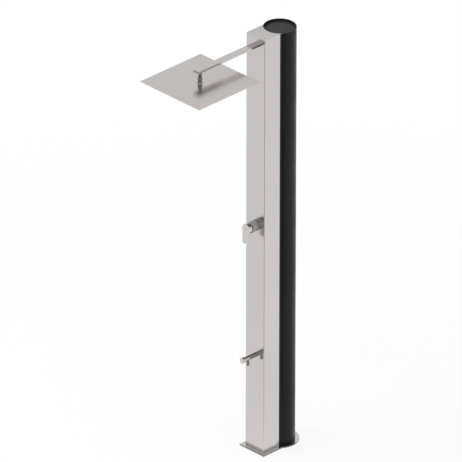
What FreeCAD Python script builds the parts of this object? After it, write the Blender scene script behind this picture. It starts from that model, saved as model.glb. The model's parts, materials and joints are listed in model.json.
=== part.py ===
import FreeCAD, Part
import math
import os
import Sketcher

# Outdoor solar shower post, in millimetres.
# +Z is up, the front face of the column looks along -Y, +X is the right side of the column.
# The origin lies on the floor under the axis of the round solar tank.

doc = FreeCAD.newDocument("outdoor_shower_post")
sheet = doc.addObject("Spreadsheet::Sheet", "Sizes")

# Driving dimensions: alias, value, meaning.
DRIVING = [
    ("base_thickness", 6, "steel plate on the floor"),
    ("base_margin", 20, "plate beyond the column and the tank"),
    ("anchor_spacing_side", 90, "anchor holes, side to side"),
    ("anchor_spacing_deep", 180, "anchor holes, front to back"),
    ("anchor_setback", 25, "front anchor holes behind the front face"),
    ("anchor_radius", 6, "anchor hole for an M10 bolt"),
    ("column_width", 125, "folded channel, side to side"),
    ("column_height", 2224, "base plate to the top of the column"),
    ("column_depth", 106, "side walls, front to back"),
    ("column_sheet", 1.5, "sheet steel of the column"),
    ("column_corner", 3, "outer radius of the folded corners"),
    ("cap_flange", 12, "turned-down edge inside the column"),
    ("trim_overlap", 4, "rubber profile over the edge of the sheet"),
    ("trim_lip", 1, "rubber profile beyond the face of the sheet"),
    ("trim_clearance", 8, "inner pieces kept clear of the rear edge"),
    ("bracket_sheet", 2, "sheet steel of the brackets"),
    ("foot_bracket_height", 40, "angle that holds the foot of the column"),
    ("foot_bracket_setback", 24, "rear end of the angle before the rear edge of the column"),
    ("tank_setback", 160, "tank axis behind the front face"),
    ("tank_radius", 80, "outside of the solar tank"),
    ("tank_wall", 5, "wall of the solar tank"),
    ("tank_drop", 3, "tank rim below the top of the column"),
    ("tank_recess", 9, "tank cap below the tank rim"),
    ("tank_cap_thickness", 6, "disc of the tank caps"),
    ("tank_cap_skirt", 30, "depth of the tank caps"),
    ("tank_cap_wall", 8, "wall of the skirt of the tank caps"),
    ("tank_seal_level", 12, "seal ring below the face of the cap"),
    ("tank_seal_height", 5, "seal ring round a tank cap"),
    ("tank_seal_depth", 4, "groove of the seal ring"),
    ("tank_ring_height", 25, "locating ring inside the foot of the tank"),
    ("tank_ring_wall", 3.5, "wall of the locating ring"),
    ("fit_gap", 0.4, "clearance between curved pieces that lie side by side"),
    ("cutter_margin", 2, "cutting shapes beyond the piece that they cut"),
    ("slip_gap", 0.2, "clearance of a piece that slips into another"),
    ("running_gap", 0.08, "clearance of a piece that turns in another"),
    ("bracket_low", 300, "height of the lower tank bracket"),
    ("bracket_mid_drop", 730, "middle tank bracket below the top of the column"),
    ("bracket_high_drop", 250, "upper tank bracket below the top of the column"),
    ("bracket_tab", 24, "upright tab of a tank bracket"),
    ("bracket_flange", 14, "turned-down side of a tank bracket"),
    ("bracket_gap", 9, "tank bracket behind the inside of the front face"),
    ("bracket_screw_level", 14.5, "screw above the plate of the bracket"),
    ("bracket_screw_radius", 3, "M6 screw of a tank bracket"),
    ("tank_pass", 15, "length of screws and fittings through the tank wall"),
    ("hex_corner", 5.7, "M6 heads and nuts, half across corners"),
    ("hex_head", 4, "height of an M6 screw head"),
    ("hex_nut", 5, "height of an M6 nut"),
    ("pipe_radius", 6, "water pipes, outside"),
    ("pipe_bore", 4.5, "water pipes, inside radius"),
    ("pipe_setback", 38, "pipe run behind the front face"),
    ("pipe_spacing", 25, "cold and hot pipes beside the middle"),
    ("pipe_edge", 9, "manifold beyond the axis of its last pipe"),
    ("feed_offset", 15, "cold feed of the tank beside the middle"),
    ("pipe_hole", 9, "pipe passage in a bracket"),
    ("inlet_height", 110, "axis of the water inlet"),
    ("inlet_radius", 10.48, "outside of a G 1/2 thread"),
    ("inlet_length", 14, "threaded end of the inlet"),
    ("inlet_flange_radius", 15, "flange of the inlet"),
    ("inlet_flange", 4, "thickness of the inlet flange"),
    ("inlet_shank", 22, "inlet inside the column"),
    ("manifold_height", 24, "water manifolds"),
    ("manifold_depth", 24, "water manifolds, front to back"),
    ("fitting_radius", 9, "tank fittings"),
    ("outlet_drop", 150, "hot outlet of the tank below the top of the column"),
    ("drain_height", 78, "drain plug of the tank"),
    ("drain_radius", 8, "thread of the drain plug"),
    ("drain_head", 12, "head of the drain plug, half across corners"),
    ("drain_washer", 4, "washer that seats on the round tank"),
    ("arm_drop", 44, "arm axis below the top of the column"),
    ("arm_width", 36, "flat arm, side to side"),
    ("arm_height", 12, "flat arm, top to bottom"),
    ("arm_wall", 1.5, "wall of the flat arm"),
    ("arm_corner", 1.2, "rounded edges of the flat arm"),
    ("arm_reach", 392, "end of the arm from the front face"),
    ("arm_inside", 26, "arm inside the column"),
    ("arm_flange_width", 84, "fixing plate of the arm"),
    ("arm_flange_height", 56, "fixing plate of the arm"),
    ("arm_stud_radius", 3, "M6 studs of the fixing plate"),
    ("arm_stud_length", 12, "M6 studs of the fixing plate"),
    ("arm_stud_spacing_side", 66, "studs, side to side"),
    ("arm_stud_spacing_up", 38, "studs, up and down"),
    ("stem_setback", 26, "stem axis before the end of the arm"),
    ("stem_radius", 9.5, "stem under the arm"),
    ("stem_length", 18, "wide part of the stem"),
    ("ball_drop", 42, "ball centre below the arm axis"),
    ("ball_radius", 8, "ball of the swivel"),
    ("ball_neck", 4, "neck above the ball"),
    ("seat_wall", 1.4, "ball seats"),
    ("seat_inner_height", 1.5, "ball seat, edge by the middle of the ball"),
    ("seat_outer_height", 6.1, "ball seat, edge by the neck"),
    ("seat_mouth", 6.2, "opening of a ball seat"),
    ("nut_radius", 11, "swivel nut"),
    ("nut_mouth", 7.2, "opening of the swivel nut"),
    ("nut_above", 9.5, "swivel nut above the ball centre"),
    ("collar_radius", 18, "collar on the rain head"),
    ("collar_thickness", 3, "collar on the rain head"),
    ("collar_spigot", 9, "threaded spigot of the collar"),
    ("head_drop", 62, "top of the rain head below the arm axis"),
    ("head_side", 400, "square rain head"),
    ("head_sheet", 1.5, "upper sheet of the rain head"),
    ("head_corner", 3, "corners of the rain head"),
    ("tray_side", 372, "water tray under the rain head"),
    ("tray_depth", 5, "water tray, top to bottom"),
    ("tray_wall", 1.2, "sheet of the water tray"),
    ("nozzle_count", 11, "nozzles in a row"),
    ("nozzle_spacing", 32, "from nozzle to nozzle"),
    ("nozzle_radius", 2.6, "nozzle at the tray"),
    ("nozzle_tip", 1.5, "nozzle at its tip"),
    ("nozzle_length", 3, "nozzle below the tray"),
    ("mixer_height", 1211, "mixer axis above the base plate"),
    ("mixer_radius", 27, "body and handle of the mixer"),
    ("mixer_shank", 16, "threaded shank through the front face"),
    ("mixer_shank_length", 24, "shank inside the column"),
    ("mixer_front_low", 46, "front of the body at the bottom"),
    ("mixer_front_high", 30, "front of the body at the top"),
    ("mixer_floor", 8, "floor of the cartridge chamber"),
    ("gasket", 1, "rubber washers on the front face"),
    ("cartridge_radius", 17.5, "ceramic cartridge"),
    ("cartridge_length", 19, "ceramic cartridge"),
    ("cartridge_nut", 3, "ring that holds the cartridge"),
    ("turret_radius", 10, "turning top of the cartridge"),
    ("turret_length", 6, "turning top of the cartridge"),
    ("turret_slot", 7, "slot for the pin, half height"),
    ("lever_pin", 3.6, "pin of the cartridge"),
    ("lever_pin_root", 31, "lower end of the pin from the front face"),
    ("handle_front", 60, "front of the handle"),
    ("handle_rear_low", 47.5, "rear of the handle at the bottom"),
    ("handle_rear_high", 42, "rear of the handle at the top"),
    ("handle_wall", 3, "wall of the handle"),
    ("handle_face", 4.5, "front wall of the handle"),
    ("handle_boss", 8, "boss of the handle"),
    ("grub_screw", 1.6, "radius of the grub screw that holds the handle"),
    ("blade_width", 50, "blade of the handle"),
    ("blade_thickness", 7, "blade of the handle"),
    ("blade_drop", 80, "lower end of the blade below the axis"),
    ("blade_corner", 6, "lower corners of the blade"),
    ("blade_edge", 1.2, "rounded edges of the blade"),
    ("tap_height", 510, "foot tap axis above the base plate"),
    ("tap_radius", 11.5, "body of the foot tap"),
    ("tap_length", 70, "body of the foot tap from the front face"),
    ("tap_shank", 9.5, "threaded shank of the foot tap"),
    ("tap_shank_length", 20, "shank inside the column"),
    ("tap_chamber", 7.5, "valve chamber of the foot tap"),
    ("tap_chamber_floor", 52, "floor of the valve chamber"),
    ("valve_nose", 5, "free length in front of the valve"),
    ("spindle_radius", 3.5, "valve spindle"),
    ("knob_radius", 15.5, "knob of the foot tap"),
    ("knob_gap", 2, "between the body and the knob"),
    ("knob_length", 14, "knob of the foot tap"),
    ("knob_flute", 1.6, "grip flutes of the knob"),
    ("knob_flute_out", 0.6, "centre of a flute beyond the rim"),
    ("knob_flute_count", 10, "grip flutes of the knob"),
    ("knob_edge", 1, "rounded edges of the knob"),
    ("spout_reach", 46, "spout axis from the front face"),
    ("spout_radius", 7, "spout of the foot tap"),
    ("spout_bore", 5, "bore of the spout"),
    ("spout_drop", 38, "lower end of the spout below the tap axis"),
    ("aerator_radius", 7.6, "aerator ring"),
    ("aerator_length", 6, "aerator ring"),
]


class Size:
    """A number together with the sheet formula that gives it."""

    def __init__(self, value, formula):
        self.value = float(value)
        self.formula = formula

    def __add__(self, other):
        other = as_size(other)
        return Size(self.value + other.value, f"({self.formula} + {other.formula})")

    def __sub__(self, other):
        other = as_size(other)
        return Size(self.value - other.value, f"({self.formula} - {other.formula})")

    def __mul__(self, other):
        other = as_size(other)
        return Size(self.value * other.value, f"({self.formula} * {other.formula})")

    def __truediv__(self, other):
        other = as_size(other)
        return Size(self.value / other.value, f"({self.formula} / {other.formula})")

    def __neg__(self):
        return Size(-self.value, f"(0 - {self.formula})")

    def __radd__(self, other):
        return as_size(other) + self

    def __rsub__(self, other):
        return as_size(other) - self

    def __rmul__(self, other):
        return as_size(other) * self


def as_size(number):
    if isinstance(number, Size):
        return number
    return Size(number, repr(float(number)))


class Sizes:
    """The driving dimensions, each one bound to its cell."""


S = Sizes()
for row, (alias, value, meaning) in enumerate(DRIVING, start=1):
    sheet.set(f"A{row}", meaning)
    sheet.set(f"B{row}", str(value))
    sheet.setAlias(f"B{row}", alias)
    setattr(S, alias, Size(value, f"Sizes.{alias}"))
doc.recompute()

NODES = []

TURNS = {
    "up": FreeCAD.Rotation(),
    "front": FreeCAD.Rotation(FreeCAD.Vector(1, 0, 0), 90),
    "back": FreeCAD.Rotation(FreeCAD.Vector(1, 0, 0), -90),
    "left": FreeCAD.Rotation(FreeCAD.Vector(0, 1, 0), -90),
    "down": FreeCAD.Rotation(FreeCAD.Vector(1, 0, 0), 180),
}


def bind(thing, **sizes):
    """Tie the named properties of a feature to their formulas."""
    for name, size in sizes.items():
        size = as_size(size)
        setattr(thing, name, size.value)
        thing.setExpression(name, size.formula)


def place(thing, at, turn="up"):
    """Put a piece at a point, its own Z axis along the named direction."""
    x, y, z = (as_size(part) for part in at)
    base = FreeCAD.Vector(x.value, y.value, z.value)
    thing.Placement = FreeCAD.Placement(base, TURNS[turn])
    for name, part in (("x", x), ("y", y), ("z", z)):
        thing.setExpression(f"Placement.Base.{name}", part.formula)
    return thing


def keep(thing, node):
    """Name a finished sub-part; its label names its file."""
    thing.Label = node
    NODES.append(thing)
    return thing


def rod(radius, length, at, turn="up"):
    thing = doc.addObject("Part::Cylinder", "rod")
    bind(thing, Radius=radius, Height=length)
    return place(thing, at, turn)


def ball(radius, at):
    thing = doc.addObject("Part::Sphere", "ball")
    bind(thing, Radius=radius)
    return place(thing, at)


def block(low, high):
    """A box between two corners."""
    thing = doc.addObject("Part::Box", "block")
    low = [as_size(part) for part in low]
    high = [as_size(part) for part in high]
    bind(thing, Length=high[0] - low[0], Width=high[1] - low[1], Height=high[2] - low[2])
    return place(thing, low)


def hexagon(corner_radius, length, at, turn="up"):
    thing = doc.addObject("Part::Prism", "hexagon")
    thing.Polygon = 6
    bind(thing, Circumradius=corner_radius, Height=length)
    return place(thing, at, turn)


def cut(base, *tools):
    for tool in tools:
        result = doc.addObject("Part::Cut", "cut")
        result.Base = base
        result.Tool = tool
        base = result
    return base


def join(*pieces):
    result = doc.addObject("Part::MultiFuse", "join")
    result.Shapes = list(pieces)
    result.Refine = True
    return result


def tube(radius, bore, length, at, turn="up"):
    return cut(rod(radius, length, at, turn), rod(bore, length, at, turn))


def origin_plane(body, role):
    return next(item for item in body.Origin.OriginFeatures if item.Role == role)


def new_sketch(body, role):
    sketch = body.newObject("Sketcher::SketchObject", "profile")
    sketch.AttachmentSupport = [(origin_plane(body, role), "")]
    sketch.MapMode = "FlatFace"
    return sketch


def pin_point(sketch, geometry, vertex, point):
    """Hold one point of a sketch at its two sizes, measured from the sketch origin."""
    for kind, axis, size in (("DistanceX", -2, point[0]), ("DistanceY", -1, point[1])):
        if not isinstance(size, Size) and size == 0:
            sketch.addConstraint(Sketcher.Constraint("PointOnObject", geometry, vertex, axis))
            continue
        size = as_size(size)
        if size.value < 0:
            size = -size
            ends = (geometry, vertex, -1, 1)
        else:
            ends = (-1, 1, geometry, vertex)
        index = sketch.addConstraint(Sketcher.Constraint(kind, *ends, size.value))
        name = f"pin{index}"
        sketch.renameConstraint(index, name)
        sketch.setExpression(f"Constraints.{name}", size.formula)


def draw_outline(sketch, points):
    """A closed outline of straight lines, each corner held by its sizes."""
    spots = [FreeCAD.Vector(as_size(p[0]).value, as_size(p[1]).value, 0) for p in points]
    count = len(spots)
    for index in range(count):
        line = Part.LineSegment(spots[index], spots[(index + 1) % count])
        sketch.addGeometry(line, False)
    for index in range(count):
        following = (index + 1) % count
        sketch.addConstraint(Sketcher.Constraint("Coincident", index, 2, following, 1))
        pin_point(sketch, index, 1, points[index])


def draw_circle(sketch, radius, centre=(0, 0)):
    middle = FreeCAD.Vector(as_size(centre[0]).value, as_size(centre[1]).value, 0)
    circle = Part.Circle(middle, FreeCAD.Vector(0, 0, 1), radius.value)
    geometry = sketch.addGeometry(circle, False)
    pin_point(sketch, geometry, 3, centre)
    index = sketch.addConstraint(Sketcher.Constraint("Radius", geometry, radius.value))
    name = f"radius{index}"
    sketch.renameConstraint(index, name)
    sketch.setExpression(f"Constraints.{name}", radius.formula)


def pad(body, length, role="XY_Plane", outline=None, circle=None, both_ways=False):
    sketch = new_sketch(body, role)
    if outline:
        draw_outline(sketch, outline)
    else:
        draw_circle(sketch, *circle)
    feature = body.newObject("PartDesign::Pad", "pad")
    feature.Profile = sketch
    feature.Midplane = both_ways
    bind(feature, Length=length)
    doc.recompute()
    return feature


def pocket(body, length, role="XY_Plane", outline=None, circle=None, both_ways=False, reverse=True):
    before = body.Shape.Volume
    sketch = new_sketch(body, role)
    if outline:
        draw_outline(sketch, outline)
    else:
        draw_circle(sketch, *circle)
    feature = body.newObject("PartDesign::Pocket", "pocket")
    feature.Profile = sketch
    feature.Midplane = both_ways
    feature.Reversed = reverse
    bind(feature, Length=length)
    doc.recompute()
    if body.Shape.Volume > before - 1e-6:
        raise ValueError(f"a pocket of {body.Name} cuts nothing")
    return feature


def fillet(body, radius, wanted):
    """Round the edges of the tip that the test picks."""
    tip = body.Tip
    names = [f"Edge{n}" for n, edge in enumerate(tip.Shape.Edges, start=1) if wanted(edge)]
    feature = body.newObject("PartDesign::Fillet", "fillet")
    feature.Base = (tip, names)
    bind(feature, Radius=radius)
    doc.recompute()
    return feature


def upright(edge):
    """True for a straight edge along the body's own Z axis."""
    if len(edge.Vertexes) < 2 or edge.Curve.TypeId != "Part::GeomLine":
        return False
    first, last = (vertex.Point for vertex in edge.Vertexes[:2])
    return math.hypot(last.x - first.x, last.y - first.y) < 1e-6


def front_corner(level):
    """A test for upright edges at one Y."""
    return lambda edge: upright(edge) and abs(edge.Vertexes[0].Point.y - level.value) < 1e-6


def turned(profile, at, turn="up"):
    """A body turned on a lathe: (radius, height) corners round its own Z axis."""
    body = doc.addObject("PartDesign::Body", "turned")
    sketch = new_sketch(body, "XZ_Plane")
    draw_outline(sketch, profile)
    feature = body.newObject("PartDesign::Revolution", "revolution")
    feature.Profile = sketch
    feature.ReferenceAxis = (sketch, ["V_Axis"])
    feature.Angle = 360
    place(body, at, turn)
    doc.recompute()
    return body


# Places worked out from the driving dimensions.
front = -S.tank_setback
inner_front = front + S.column_sheet
half_width = S.column_width / 2
inner_half = half_width - S.column_sheet
column_base = S.base_thickness
column_top = column_base + S.column_height
tank_top = column_top - S.tank_drop
tank_inner = S.tank_radius - S.tank_wall
arm_level = column_top - S.arm_drop
outlet_level = column_top - S.outlet_drop
bracket_levels = {
    "lower": S.bracket_low,
    "middle": column_top - S.bracket_mid_drop,
    "upper": column_top - S.bracket_high_drop,
}
mixer_level = column_base + S.mixer_height
tap_level = column_base + S.tap_height
head_top = arm_level - S.head_drop
head_y = front - S.arm_reach + S.stem_setback
pipe_y = front + S.pipe_setback
ball_level = arm_level - S.ball_drop
shell_height = S.column_height - S.column_sheet
rear_edge = front + S.column_depth


def base_and_foot():
    half = half_width + S.base_margin
    plate = doc.addObject("PartDesign::Body", "plate")
    pad(plate, S.base_thickness, outline=[
        (-half, 0), (-half, front - S.base_margin), (half, front - S.base_margin), (half, 0)])
    pad(plate, S.base_thickness, circle=(S.tank_radius + S.base_margin,))
    anchor_front = front + S.anchor_setback
    holes = []
    for side in (-1, 1):
        for y in (anchor_front, anchor_front + S.anchor_spacing_deep):
            x = S.anchor_spacing_side * (side / 2)
            holes.append(rod(S.anchor_radius, S.base_thickness, (x, y, 0)))
    keep(cut(plate, *holes), "base_plate")

    ring_outer = tank_inner - S.slip_gap
    ring = tube(ring_outer, ring_outer - S.tank_ring_wall, S.tank_ring_height, (0, 0, column_base))
    keep(ring, "tank_ring")

    inside = inner_half - S.bracket_sheet
    angle_top = column_base + S.foot_bracket_height
    back = front + S.column_depth - S.foot_bracket_setback
    angle = doc.addObject("PartDesign::Body", "angle")
    pad(angle, S.foot_bracket_height, outline=[
        (-inner_half, back), (-inner_half, inner_front), (inner_half, inner_front),
        (inner_half, back)])
    fillet(angle, S.column_corner, front_corner(inner_front))
    place(angle, (0, 0, column_base))
    inner = block((-inside, inner_front + S.bracket_sheet, column_base), (inside, back, angle_top))
    keep(cut(angle, inner), "foot_bracket")


def column():
    shell = doc.addObject("PartDesign::Body", "shell")
    pad(shell, shell_height, outline=[
        (-half_width, rear_edge), (-half_width, front), (half_width, front), (half_width, rear_edge),
        (inner_half, rear_edge), (inner_half, inner_front), (-inner_half, inner_front),
        (-inner_half, rear_edge)])

    fillet(shell, S.column_corner, front_corner(front))
    fillet(shell, S.column_corner - S.column_sheet, front_corner(inner_front))
    place(shell, (0, 0, column_base))
    wall = S.column_sheet + S.cutter_margin * 2
    through = inner_front + S.cutter_margin
    slot_x = S.arm_width / 2 + S.slip_gap
    slot_z = S.arm_height / 2 + S.slip_gap
    slot = block((-slot_x, front - S.column_sheet, arm_level - slot_z),
                 (slot_x, through, arm_level + slot_z))
    mixer_hole = rod(S.mixer_shank + S.slip_gap, wall, (0, through, mixer_level), "front")
    tap_hole = rod(S.tap_shank + S.slip_gap, wall, (0, through, tap_level), "front")
    inlet_hole = rod(S.inlet_radius + S.slip_gap, wall,
                     (S.cutter_margin - inner_half, pipe_y, S.inlet_height), "left")
    keep(cut(shell, slot, mixer_hole, tap_hole, inlet_hole), "column_shell")

    lid = doc.addObject("PartDesign::Body", "lid")
    lid_back = rear_edge + S.trim_clearance
    pad(lid, S.column_sheet, outline=[
        (-half_width, lid_back), (-half_width, front), (half_width, front), (half_width, lid_back)])
    fillet(lid, S.column_corner, front_corner(front))
    place(lid, (0, 0, column_top - S.column_sheet))
    flange_low = column_top - S.column_sheet - S.cap_flange
    lip = inner_half - S.slip_gap
    lip_in = lip - S.column_sheet
    flange_back = rear_edge - S.trim_clearance
    lip_front = inner_front + S.slip_gap
    flange = cut(block((-lip, lip_front, flange_low), (lip, flange_back, column_top - S.column_sheet)),
                 block((-lip_in, lip_front + S.column_sheet, flange_low),
                       (lip_in, flange_back, column_top - S.column_sheet)))
    corner_posts = [
        block((side * lip - (S.column_corner if side > 0 else 0), lip_front, flange_low),
              (side * lip + (0 if side > 0 else S.column_corner), lip_front + S.column_corner,
               column_top - S.column_sheet))
        for side in (-1, 1)]
    tank_space = rod(S.tank_radius + S.fit_gap, S.cap_flange + S.column_sheet, (0, 0, flange_low))
    keep(cut(join(lid, flange), *corner_posts, tank_space), "column_top_cap")

    for side, node in ((-1, "edge_trim_left"), (1, "edge_trim_right")):
        out = (half_width + S.trim_lip) * side
        sheet_out = half_width * side
        sheet_in = inner_half * side
        inner = (inner_half - S.trim_lip) * side
        lap = rear_edge - S.trim_overlap
        end = rear_edge + S.trim_overlap + S.trim_lip
        trim = doc.addObject("PartDesign::Body", "trim")
        pad(trim, shell_height, outline=[
            (out, lap), (sheet_out, lap), (sheet_out, rear_edge), (sheet_in, rear_edge),
            (sheet_in, lap), (inner, lap), (inner, end), (out, end)])
        place(trim, (0, 0, column_base))
        space = rod(S.tank_radius + S.fit_gap, shell_height, (0, 0, column_base))
        keep(cut(trim, space), node)


def tank_cap(node, seal_node, at, turn):
    """A tank cap with its skirt, and the ring in its groove; its disc starts at the given point."""
    outer = tank_inner - S.slip_gap
    groove = outer - S.tank_seal_depth
    inner = outer - S.tank_cap_wall
    groove_low = S.tank_seal_level
    groove_high = groove_low + S.tank_seal_height
    cap = turned([
        (0, 0), (outer, 0), (outer, groove_low), (groove, groove_low), (groove, groove_high),
        (outer, groove_high), (outer, S.tank_cap_skirt), (inner, S.tank_cap_skirt),
        (inner, S.tank_cap_thickness), (0, S.tank_cap_thickness)], at, turn)
    keep(cap, node)
    sign = -1 if turn == "down" else 1
    seal_z = at[2] + groove_low * sign
    keep(tube(tank_inner, groove, S.tank_seal_height, (0, 0, seal_z), turn), seal_node)


def tank():
    height = tank_top - column_base
    shell = tube(S.tank_radius, tank_inner, height, (0, 0, column_base))
    reach = S.tank_radius
    holes = [
        rod(S.fitting_radius, reach, (S.feed_offset, 0, S.inlet_height), "front"),
        rod(S.fitting_radius, reach, (S.pipe_spacing, 0, outlet_level), "front"),
        rod(S.drain_radius, reach, (0, 0, S.drain_height), "back"),
    ]
    for level in bracket_levels.values():
        spot = (0, 0, level + S.bracket_screw_level)
        holes.append(rod(S.bracket_screw_radius, reach, spot, "front"))
    keep(cut(shell, *holes), "tank_tube")
    tank_cap("tank_top_cap", "top_cap_seal", (0, 0, tank_top - S.tank_recess), "down")
    tank_cap("tank_bottom_cap", "bottom_cap_seal", (0, 0, column_base + S.tank_ring_height), "up")

    washer = S.tank_radius + S.gasket
    plug = join(rod(S.drain_radius - S.running_gap, S.tank_pass,
                    (0, washer - S.tank_pass, S.drain_height), "back"),
                hexagon(S.drain_head, S.drain_radius, (0, washer, S.drain_height), "back"))
    keep(plug, "drain_plug")
    ring = tube(S.drain_head - S.gasket, S.drain_radius, S.drain_washer,
                (0, washer - S.drain_washer, S.drain_height), "back")
    curve = rod(S.tank_radius, S.drain_head * 2, (0, 0, S.drain_height - S.drain_head))
    keep(cut(ring, curve), "drain_washer")


def tank_brackets():
    saddle = S.tank_radius + S.fit_gap
    tab_y = -saddle - S.bracket_sheet
    screws = []
    for name, level in bracket_levels.items():
        bracket = doc.addObject("PartDesign::Body", "bracket")
        plate_front = inner_front + S.bracket_gap
        plate_back = rear_edge - S.trim_clearance
        pad(bracket, S.bracket_sheet, outline=[
            (-inner_half, plate_back), (-inner_half, plate_front),
            (inner_half, plate_front), (inner_half, plate_back)])
        place(bracket, (0, 0, level))
        sides = []
        for side in (-1, 1):
            edges = sorted((inner_half * side, (inner_half - S.bracket_sheet) * side),
                           key=lambda size: size.value)
            sides.append(block((edges[0], plate_front, level - S.bracket_flange),
                               (edges[1], plate_back, level)))
        tab_half = S.bracket_tab / 2
        tab = block((-tab_half, tab_y, level), (tab_half, tab_y + S.bracket_sheet, level + S.bracket_tab))
        passages = [rod(S.pipe_hole, S.bracket_sheet, (S.pipe_spacing * place_x, pipe_y, level))
                    for place_x in (-1, 0, 1)]
        cavity = rod(saddle, S.bracket_tab + S.bracket_flange, (0, 0, level - S.bracket_flange))
        screw_z = level + S.bracket_screw_level
        screw_hole = rod(S.bracket_screw_radius + S.slip_gap, S.bracket_tab,
                         (0, tab_y + S.bracket_tab / 2, screw_z), "front")
        solid = cut(join(bracket, *sides, tab), cavity, screw_hole, *passages)
        keep(solid, f"tank_bracket_{name}")
        shank = rod(S.bracket_screw_radius - S.running_gap, S.tank_pass,
                    (0, tab_y + S.tank_pass, screw_z), "front")
        head = hexagon(S.hex_corner, S.hex_head,
                       (0, tab_y, screw_z), "front")
        screws.append(join(shank, head))
    group = doc.addObject("Part::Compound", "screws")
    group.Links = screws
    keep(group, "tank_bracket_screws")


def plumbing():
    low = S.inlet_height - S.manifold_height / 2
    manifold_front = pipe_y - S.manifold_depth / 2
    manifold_back = pipe_y + S.manifold_depth / 2
    manifold_left = S.inlet_shank - inner_half
    nipple_flange = S.inlet_flange
    total = S.inlet_shank + S.column_sheet + nipple_flange + S.inlet_length
    flange_start = S.inlet_shank + S.column_sheet
    nipple = turned([
        (S.pipe_radius, 0), (S.inlet_radius, 0), (S.inlet_radius, flange_start),
        (S.inlet_flange_radius, flange_start), (S.inlet_flange_radius, flange_start + nipple_flange),
        (S.inlet_radius, flange_start + nipple_flange), (S.inlet_radius, total),
        (S.pipe_radius, total)], (manifold_left, pipe_y, S.inlet_height), "left")
    keep(nipple, "inlet_nipple")
    nut_depth = S.pipe_radius
    nut_at = (nut_depth - inner_half, pipe_y, S.inlet_height)
    keep(cut(hexagon(S.inlet_flange_radius, nut_depth, nut_at, "left"),
             rod(S.inlet_radius, nut_depth, nut_at, "left")), "inlet_backnut")

    manifold_right = S.pipe_spacing + S.pipe_radius
    body = block((manifold_left, manifold_front, low),
                 (manifold_right, manifold_back, low + S.manifold_height))
    keep(body, "cold_manifold")
    top = low + S.manifold_height

    mixer_low = mixer_level - S.manifold_height / 2
    mixer_back = front + S.mixer_shank_length
    riser_length = mixer_low - top
    keep(tube(S.pipe_radius, S.pipe_bore, riser_length, (-S.pipe_spacing, pipe_y, top)), "cold_riser")

    feed_x = S.feed_offset
    fitting_y = -S.tank_radius - S.fitting_radius
    feed = rod(S.pipe_radius, fitting_y - manifold_back, (feed_x, fitting_y, S.inlet_height), "front")
    keep(feed, "tank_feed_pipe")
    fitting = rod(S.fitting_radius - S.running_gap, S.fitting_radius + S.tank_pass,
                  (feed_x, S.tank_pass - S.tank_radius, S.inlet_height), "front")
    keep(fitting, "tank_inlet_fitting")

    # The feed of the foot tap rises and bends forward into the shank of the tap.
    shank_end = front + S.tap_shank_length
    bend = pipe_y.value - shank_end.value
    x0 = 0.0
    start = FreeCAD.Vector(x0, pipe_y.value, top.value)
    bend_start = FreeCAD.Vector(x0, pipe_y.value, tap_level.value - bend)
    bend_end = FreeCAD.Vector(x0, shank_end.value, tap_level.value)
    slope = math.sqrt(0.5)
    middle = FreeCAD.Vector(x0, shank_end.value + bend * slope, tap_level.value - bend + bend * slope)
    path = Part.Wire([Part.LineSegment(start, bend_start).toShape(),
                      Part.Arc(bend_start, middle, bend_end).toShape()])
    section = Part.Wire(Part.makeCircle(S.pipe_radius.value, start, FreeCAD.Vector(0, 0, 1)))
    feed_pipe = doc.addObject("Part::Feature", "tap_feed")
    feed_pipe.Shape = path.makePipeShell([section], True, False)
    length = S.pipe_radius.value ** 2 * math.pi * path.Length
    if abs(feed_pipe.Shape.Volume - length) > length * 0.01:
        raise ValueError("the foot tap feed has the wrong volume")
    keep(feed_pipe, "tap_feed_pipe")

    mixer_high = mixer_low + S.manifold_height
    side = S.pipe_spacing + S.pipe_edge
    keep(block((-side, mixer_back, mixer_low), (side, pipe_y + S.manifold_depth / 2, mixer_high)),
         "mixer_manifold")
    elbow_radius = S.fitting_radius - S.running_gap
    elbow = join(rod(elbow_radius, S.tank_pass - S.tank_radius - pipe_y,
                     (S.pipe_spacing, S.tank_pass - S.tank_radius, outlet_level), "front"),
                 rod(elbow_radius, S.manifold_height,
                     (S.pipe_spacing, pipe_y, outlet_level - S.manifold_height / 2)))
    keep(elbow, "tank_outlet_fitting")
    hot_length = outlet_level - S.manifold_height / 2 - mixer_high
    keep(tube(S.pipe_radius, S.pipe_bore, hot_length, (S.pipe_spacing, pipe_y, mixer_high)), "hot_pipe")
    arm_low = arm_level - S.manifold_height / 2
    keep(tube(S.pipe_radius, S.pipe_bore, arm_low - mixer_high, (0, pipe_y, mixer_high)), "mixed_riser")


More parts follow.
